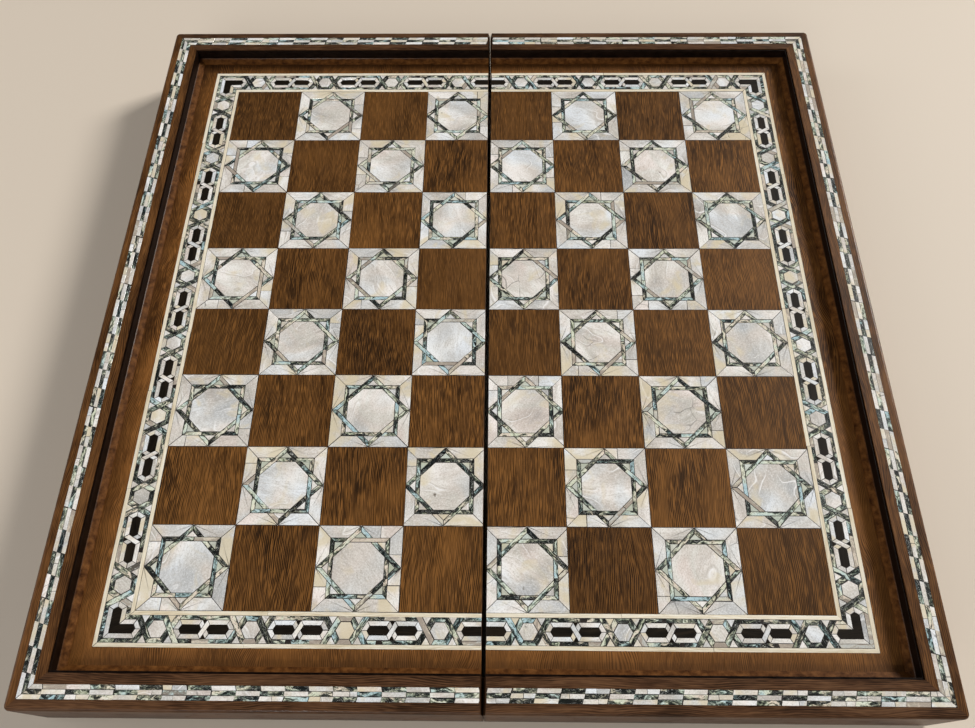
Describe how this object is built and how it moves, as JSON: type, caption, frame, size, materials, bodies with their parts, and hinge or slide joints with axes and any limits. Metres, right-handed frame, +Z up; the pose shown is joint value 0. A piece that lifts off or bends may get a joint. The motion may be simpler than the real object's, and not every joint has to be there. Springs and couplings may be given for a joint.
{
  "type": "folding game board",
  "caption": "Folding wooden game board inlaid with mother-of-pearl: raised rim around a chess field outside, backgammon tray inside, brass hinges and hooks.",
  "frame": {"origin": "centre of the open board's footprint, on the plane the hinge barrels stand on", "axes": "+X across the fold towards the right half, +Y along the fold away from the player, +Z up out of the chess side"},
  "size_m": [0.5098, 0.502, 0.0469],
  "materials": {
    "lacquered_wood": "brown stained hardwood under satin lacquer",
    "plywood": "plain plywood edge",
    "ebonised_wood": "black stained, satin lacquer",
    "stained_veneer": "brown stained beech veneer under gloss lacquer",
    "pearl": "polished mother-of-pearl",
    "abalone": "polished dark abalone shell",
    "cream_stringing": "pale boxwood line, lacquered",
    "ebony": "polished ebony",
    "tray_veneer": "walnut veneer, satin",
    "light_point": "lemonwood, satin",
    "dark_point": "dark walnut, satin",
    "brass": "satin brass"
  },
  "bodies": {
    "board_left": {"left_band_abalone": "abalone", "left_band_black": "ebony", "left_band_pearl": "pearl", "left_margin_veneer": "stained_veneer", "left_moulding_far": "ebonised_wood", "left_moulding_near": "ebonised_wood", "left_moulding_outer": "ebonised_wood", "left_panel": "plywood", "left_points_dark": "dark_point", "left_points_light": "light_point", "left_rim_abalone": "abalone", "left_rim_pearl": "pearl", "left_squares_dark": "stained_veneer", "left_star_centres": "pearl", "left_star_strips": "abalone", "left_star_surrounds": "pearl", "left_stringing": "cream_stringing", "left_tray_stringing": "cream_stringing", "left_tray_veneer": "tray_veneer", "left_wall_far": "lacquered_wood", "left_wall_hinge": "lacquered_wood", "left_wall_near": "lacquered_wood", "left_wall_outer": "lacquered_wood", "hinge_leaves_left": "brass", "hinge_pins": "brass", "hinge_screws_left": "brass", "hook_screws": "brass"},
    "board_right": {"right_band_abalone": "abalone", "right_band_black": "ebony", "right_band_pearl": "pearl", "right_margin_veneer": "stained_veneer", "right_moulding_far": "ebonised_wood", "right_moulding_near": "ebonised_wood", "right_moulding_outer": "ebonised_wood", "right_panel": "plywood", "right_points_dark": "dark_point", "right_points_light": "light_point", "right_rim_abalone": "abalone", "right_rim_pearl": "pearl", "right_squares_dark": "stained_veneer", "right_star_centres": "pearl", "right_star_strips": "abalone", "right_star_surrounds": "pearl", "right_stringing": "cream_stringing", "right_tray_stringing": "cream_stringing", "right_tray_veneer": "tray_veneer", "right_wall_far": "lacquered_wood", "right_wall_hinge": "lacquered_wood", "right_wall_near": "lacquered_wood", "right_wall_outer": "lacquered_wood", "hinge_leaves_right": "brass", "hinge_screws_right": "brass", "hook_studs": "brass"},
    "hook_far": {"hook_far": "brass"},
    "hook_near": {"hook_near": "brass"}
  },
  "joints": [
    {"name": "fold", "type": "hinge", "parent": "board_left", "child": "board_right", "pos_m": [0, 0, 0.00175], "axis": [0, 1, 0], "range_deg": [0, 180]},
    {"name": "hook_far_turn", "type": "hinge", "parent": "board_left", "child": "hook_far", "pos_m": [-0.2522, 0.11, 0.016], "axis": [1, 0, 0], "range_deg": [0, 90]},
    {"name": "hook_near_turn", "type": "hinge", "parent": "board_left", "child": "hook_near", "pos_m": [-0.2522, -0.11, 0.016], "axis": [-1, 0, 0], "range_deg": [0, 90]}
  ]
}
